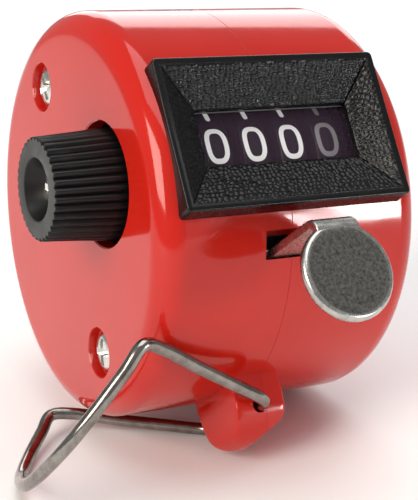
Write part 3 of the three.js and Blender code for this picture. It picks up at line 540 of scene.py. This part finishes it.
# ------------------------------------------------------------------ reset knob
def knob():
    KX = -24.4; n = 36; per = 8; rows = [(KX, 5.62, 0.8), (KX + 0.1, 5.74, 0.95), (KX + 0.25, 5.80, 1), (KX + 1.6, 5.86, 1), (KX + 4.5, 6.05, 1), (-17.2, 6.28, 1), (-16.2, 6.32, 1), (-15.3, 6.35, 1), (-15.2, 6.1, 0.6)]
    V, F = [], []; N = n * per
    for x, r, k in rows:
        for i in range(N):
            ph = (i % per) / per; g = 0.5 - 0.5 * math.cos(2 * math.pi * ph); rr = r - 0.42 * k * (1 - g ** 0.55)
            a = 2 * math.pi * i / N; V.append((x, SHAFT_Y + rr * math.cos(a), rr * math.sin(a)))
    m = len(rows)
    for j in range(m - 1):
        for i in range(N): F.append((j * N + i, j * N + (i + 1) % N, (j + 1) * N + (i + 1) % N, (j + 1) * N + i))
    V.append((-15.2, SHAFT_Y, 0)); c = len(V) - 1
    for i in range(N): F.append(((m - 1) * N + i, (m - 1) * N + (i + 1) % N, c))
    # recess: rounded lip, sloping glossy wall, flat floor
    rec = [(KX, 4.9), (KX, 3.66), (KX + 0.06, 3.52), (KX + 0.2, 3.45), (KX + 1.9, 2.75), (KX + 2.15, 2.5), (KX + 2.25, 0.0)]; prev = list(range(N))
    for x, r in rec:
        if r == 0: V.append((x, SHAFT_Y, 0)); c = len(V) - 1; F += [(prev[i], prev[(i + 1) % N], c) for i in range(N)]; break
        k = len(V); V += [(x, SHAFT_Y + r * math.cos(2 * math.pi * i / N), r * math.sin(2 * math.pi * i / N)) for i in range(N)]
        cur = list(range(k, k + N)); F += [(prev[i], prev[(i + 1) % N], cur[(i + 1) % N], cur[i]) for i in range(N)]; prev = cur
    return new_obj('fluted_knob', V, F)
kb = knob(); kb.data.materials.append(KNOB); kb.data.materials.append(KNOB_TIP)
for p in kb.data.polygons:
    c = p.center
    if c.x < -24.37 and math.hypot(c.y - SHAFT_Y, c.z) > 3.6: p.material_index = 1
smooth(kb, 40); place(kb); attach(kb, 'reset_shaft'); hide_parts('reset_knob')
finish_piece(lathe('knob_hub', [(-15.3, 0), (-15.3, 3.2), (-11.9, 3.2), (-11.6, 2.9), (-11.6, 1.5), (-15.3 + 0.0, 1.5)][:5] + [(-11.6, 0)], 48, SHAFT_Y, 0), KNOB, 'reset_shaft', (), 30)
wsh = lathe('knob_washer', [(-22.05, 1.6), (-22.3, 1.75), (-22.4, 2.05), (-22.36, 2.3), (-22.2, 2.42), (-22.05, 2.45)], 48, SHAFT_Y, 0, closed=True)
finish_piece(wsh, ZINC, 'reset_shaft', (), 40)
finish_piece(cross_screw('knob_cross_screw', -22.25, SHAFT_Y, 0, 1.95, 0.7, -18.2, 0.6), ZINC, 'reset_shaft', ('knob_screw',), 28)

# ------------------------------------------------------------------ thumb lever
def lever():
    T = 1.0; x0, x1 = -3.2, 2.0; yb = -29.9
    # arm and bend as a swept strip in the (y, z) plane
    path = [(-10.0, -12.9), (-28.3, -12.9)] + [(-28.3 - 1.05 * math.sin(math.radians(a)), -13.95 + 1.05 * math.cos(math.radians(a))) for a in range(15, 91, 15)] + [(-29.35, -15.2)]
    up, dn = [], []
    for i, p in enumerate(path):
        a = Vector(path[max(i - 1, 0)]); b2 = Vector(path[min(i + 1, len(path) - 1)]); t = (b2 - a).normalized(); nn = Vector((-t.y, t.x)) * T / 2
        up.append(tuple(Vector(p) + nn)); dn.append(tuple(Vector(p) - nn))
    arm = prism('thumb_lever_sheet', up + dn[::-1], x0, x1, 'X')
    bevel(arm, 0.16, 3, 40)
    return arm
lv = lever()
inner = cbox('i', -9.6, 12.1, -13, -3.5, -13.4, -12.4)
boolean(inner, cbox('i', 9.5, 11.1, -8.6, -3, -14, -12)); boolean(inner, cbox('i', -7.4, -4.2, -8.6, -3, -14, -12))
for x0, x1 in ((-9.6, -8.6), (11.1, 12.1)):
    boolean(inner, prism('e', hull(circ(-6.0, -11.2, 1.9, 32) + [(-8.6, -13.4), (-3.5, -13.4)]), x0, x1, 'X'), 'UNION')
boolean(inner, prism('h', circ(-6.0, -11.2, 1.05, 24), -13, 15, 'X'))
boolean(lv, inner, 'UNION')
finish_piece(lv, NICKEL, 'lever', ('thumb_lever',), 30)
def pad():
    """round pad with a rolled edge, slightly dished face towards the thumb"""
    cx, cz, y0, r = -0.7, -18.6, -29.92, 5.35; n = 128
    prof = [(0.05, 0.0), (0.05, 2.0), (0.045, 3.4), (0.03, 4.2), (0.0, 4.5), (-0.04, 4.70), (-0.05, 4.86), (0.0, 5.04), (0.12, 5.20), (0.30, 5.31), (0.55, 5.35), (0.85, 5.31), (1.02, 5.20), (1.10, 5.04), (1.10, 4.8), (1.02, 4.6), (0.98, 4.0), (1.02, 2.0), (1.04, 0.0)]
    H2 = hull(circ(0, 0, r, 360) + [(2.7, 4.75), (-2.5, 4.75)])
    def reach(a):
        dx, dz = math.cos(a), math.sin(a); best = r
        for (p, q) in zip(H2, H2[1:] + H2[:1]):
            ex, ez = q[0] - p[0], q[1] - p[1]; den = dx * ez - dz * ex
            if abs(den) < 1e-9: continue
            tt = (p[0] * ez - p[1] * ex) / den; uu = (p[0] * dz - p[1] * dx) / den
            if tt > 0 and -1e-6 <= uu <= 1 + 1e-6: best = max(best, tt)
        return best
    EXT = [reach(2 * math.pi * i / n) - r for i in range(n)]
    V, F, rings = [], [], []
    for y, rr in prof:
        if rr == 0: rings.append([len(V)]); V.append((cx, y0 + y, cz)); continue
        rings.append(list(range(len(V), len(V) + n)))
        for i in range(n):
            a = 2 * math.pi * i / n; q = rr + EXT[i] * (rr / r) ** 6; V.append((cx + q * math.cos(a), y0 + y, min(cz + q * math.sin(a), -13.95)))
    for a, b2 in zip(rings, rings[1:]):
        for i in range(n):
            j = (i + 1) % n
            if len(a) == 1: F.append((a[0], b2[i], b2[j]))
            elif len(b2) == 1: F.append((a[i], a[j], b2[0]))
            else: F.append((a[i], a[j], b2[j], b2[i]))
    return new_obj('thumb_pad', V, F)
pd = pad(); pd.data.materials.append(PADM); pd.data.materials.append(NICKEL)
for p in pd.data.polygons:
    c = p.center; rr = math.hypot(c.x + 0.7, c.z + 18.6)
    p.material_index = 1 if (rr > 4.66) else 0
smooth(pd, 50); place(pd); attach(pd, 'lever')

# ------------------------------------------------------------------ finger loop
c0, e0 = (-17.9, -19.7), (-28.3, -30.2); LL = math.hypot(e0[0] - c0[0], e0[1] - c0[1])
def ring(u, w): return (c0[0] + (e0[0] - c0[0]) * w / LL, u, c0[1] + (e0[1] - c0[1]) * w / LL)
pts = [(-1.5, -3.6, -26.7), (-1.5, -7.2, -26.7), (-2.3, -8.3, -26.35), (-6, -9.9, -24.75), (-11, -12.1, -22.65), (-16.0, -14.4, -20.5), ring(-15.3, 0.6), ring(-14.2, 3.6), ring(-11.8, 8.0), ring(-7.6, 12.2), ring(0, 14.6), ring(7.6, 12.2), ring(11.8, 8.0), ring(14.2, 3.6), ring(15.3, 0.6), (-16.0, 14.4, -20.5), (-11, 12.0, -22.65), (-6, 9.2, -24.75), (-2.3, 6.9, -26.35), (-1.5, 5.6, -26.7), (-1.5, 2.4, -26.7)]
finish_piece(sweep('wire_loop', catmull(pts, 9), 0.75, 20), WIRE, 'loop', ('finger_loop',), 60)

# ------------------------------------------------------------------ inner pieces keep their CAD shape
INNER = {'mechanism_frame': STEEL, 'pinion_shaft': STEEL, 'lever_pivot_pin': STEEL, 'wheel_shaft': STEEL, 'shaft_clip': SPRING, 'star_wheel': BRASS, 'escapement_verge': STEEL, 'lever_return_spring': SPRING}
for w in WN: INNER[w + '_wheel'] = WHEEL; INNER[w + '_reset_pawl'] = SPRING
for w in WN[:3]: INNER[w + '_pinion'] = NYLON
for k, m in INNER.items():
    ob = frame["nodes"][k]; ob.data.materials.clear(); ob.data.materials.append(m)

# ------------------------------------------------------------------ stage
floor_me = bpy.data.meshes.new('floor'); S = 3.0
floor_me.from_pydata([(-S, -S, 0), (S, -S, 0), (S, S, 0), (-S, S, 0)], [], [(0, 1, 2, 3)])
floor = bpy.data.objects.new('floor', floor_me); COL.objects.link(floor); floor.location.z = -0.0002
fm, fnt, fb = mat('floor_white', (0.93, 0.93, 0.93), 0.75)
fc = objcoord(fnt); fn = noise(fnt, fc, 8, 2); fr = ramp(fnt, fn.outputs['Fac'], [(0.3, (0.92, 0.92, 0.92)), (0.7, (0.94, 0.94, 0.94))]); fnt.links.new(fr.outputs[0], fb.inputs['Base Color'])
floor_me.materials.append(fm)

sc = bpy.context.scene
wd = bpy.data.worlds.new('studio'); sc.world = wd; wd.use_nodes = True
wd.node_tree.nodes['Background'].inputs[0].default_value = (1, 1, 1, 1); wd.node_tree.nodes['Background'].inputs[1].default_value = 0.33
def area(name, loc, look, w, h, power, color=(1, 1, 1)):
    l = bpy.data.lights.new(name, 'AREA'); l.shape = 'RECTANGLE'; l.size = w; l.size_y = h; l.energy = power; l.color = color
    o = bpy.data.objects.new(name, l); COL.objects.link(o); o.location = loc
    o.rotation_euler = (Vector(look) - Vector(loc)).to_track_quat('-Z', 'Y').to_euler()
    return o
C = Vector((0, 0, 0.026))
area('key_left', (-0.62, -0.20, 0.38), C, 0.40, 0.40, 4.3, (1.0, 0.92, 0.83))
area('top', (0.05, -0.05, 0.75), C, 0.7, 0.6, 3.2)
area('back', (0.31, 0.50, 0.24), C, 0.5, 0.30, 1.2)
def refl_light(name, az, el, dist, w, h, power):
    a, e = math.radians(az), math.radians(el)
    o = Vector((0.008, -0.014, 0.016)); return area(name, o + Vector((math.cos(e) * math.cos(a), math.cos(e) * math.sin(a), math.sin(e))) * dist, o, w, h, power)
refl_light('strip_front', -54.3, 3.4, 0.62, 0.040, 0.105, 0.75)
refl_light('bar_front', -58.5, 1.6, 0.62, 0.012, 0.075, 0.13)
refl_light('line_front', -55.2, -5.8, 0.62, 0.052, 0.010, 0.10)

# ------------------------------------------------------------------ camera
f_px, CXO, CYO = 1435.04, 1.27, 16.23
cpos = Vector((-81.1737, -148.7870, -51.4112)); fw = Vector((0.46367953, 0.85029462, 0.24899872)); rt = Vector((0.88087599, -0.41222702, -0.23265076)); up = Vector((0.09517768, -0.32721239, 0.94014534))
cam_d = bpy.data.cameras.new('camera'); cam = bpy.data.objects.new('camera', cam_d); COL.objects.link(cam)
cam_d.sensor_fit = 'AUTO'; cam_d.sensor_width = 36.0; cam_d.lens = f_px * 36.0 / 500.0; cam_d.clip_start = 0.01; cam_d.clip_end = 20
cam_d.shift_x = -CXO / 500.0; cam_d.shift_y = CYO / 500.0
Rw, Uw, Bw = ROT @ rt, ROT @ up, ROT @ (-fw)
mw = Matrix(((Rw.x, Uw.x, Bw.x, 0), (Rw.y, Uw.y, Bw.y, 0), (Rw.z, Uw.z, Bw.z, 0), (0, 0, 0, 1)))
mw.translation = (ROT @ cpos + OFF) / 1000; cam.matrix_world = mw
sc.camera = cam
sc.view_settings.view_transform = 'Standard'
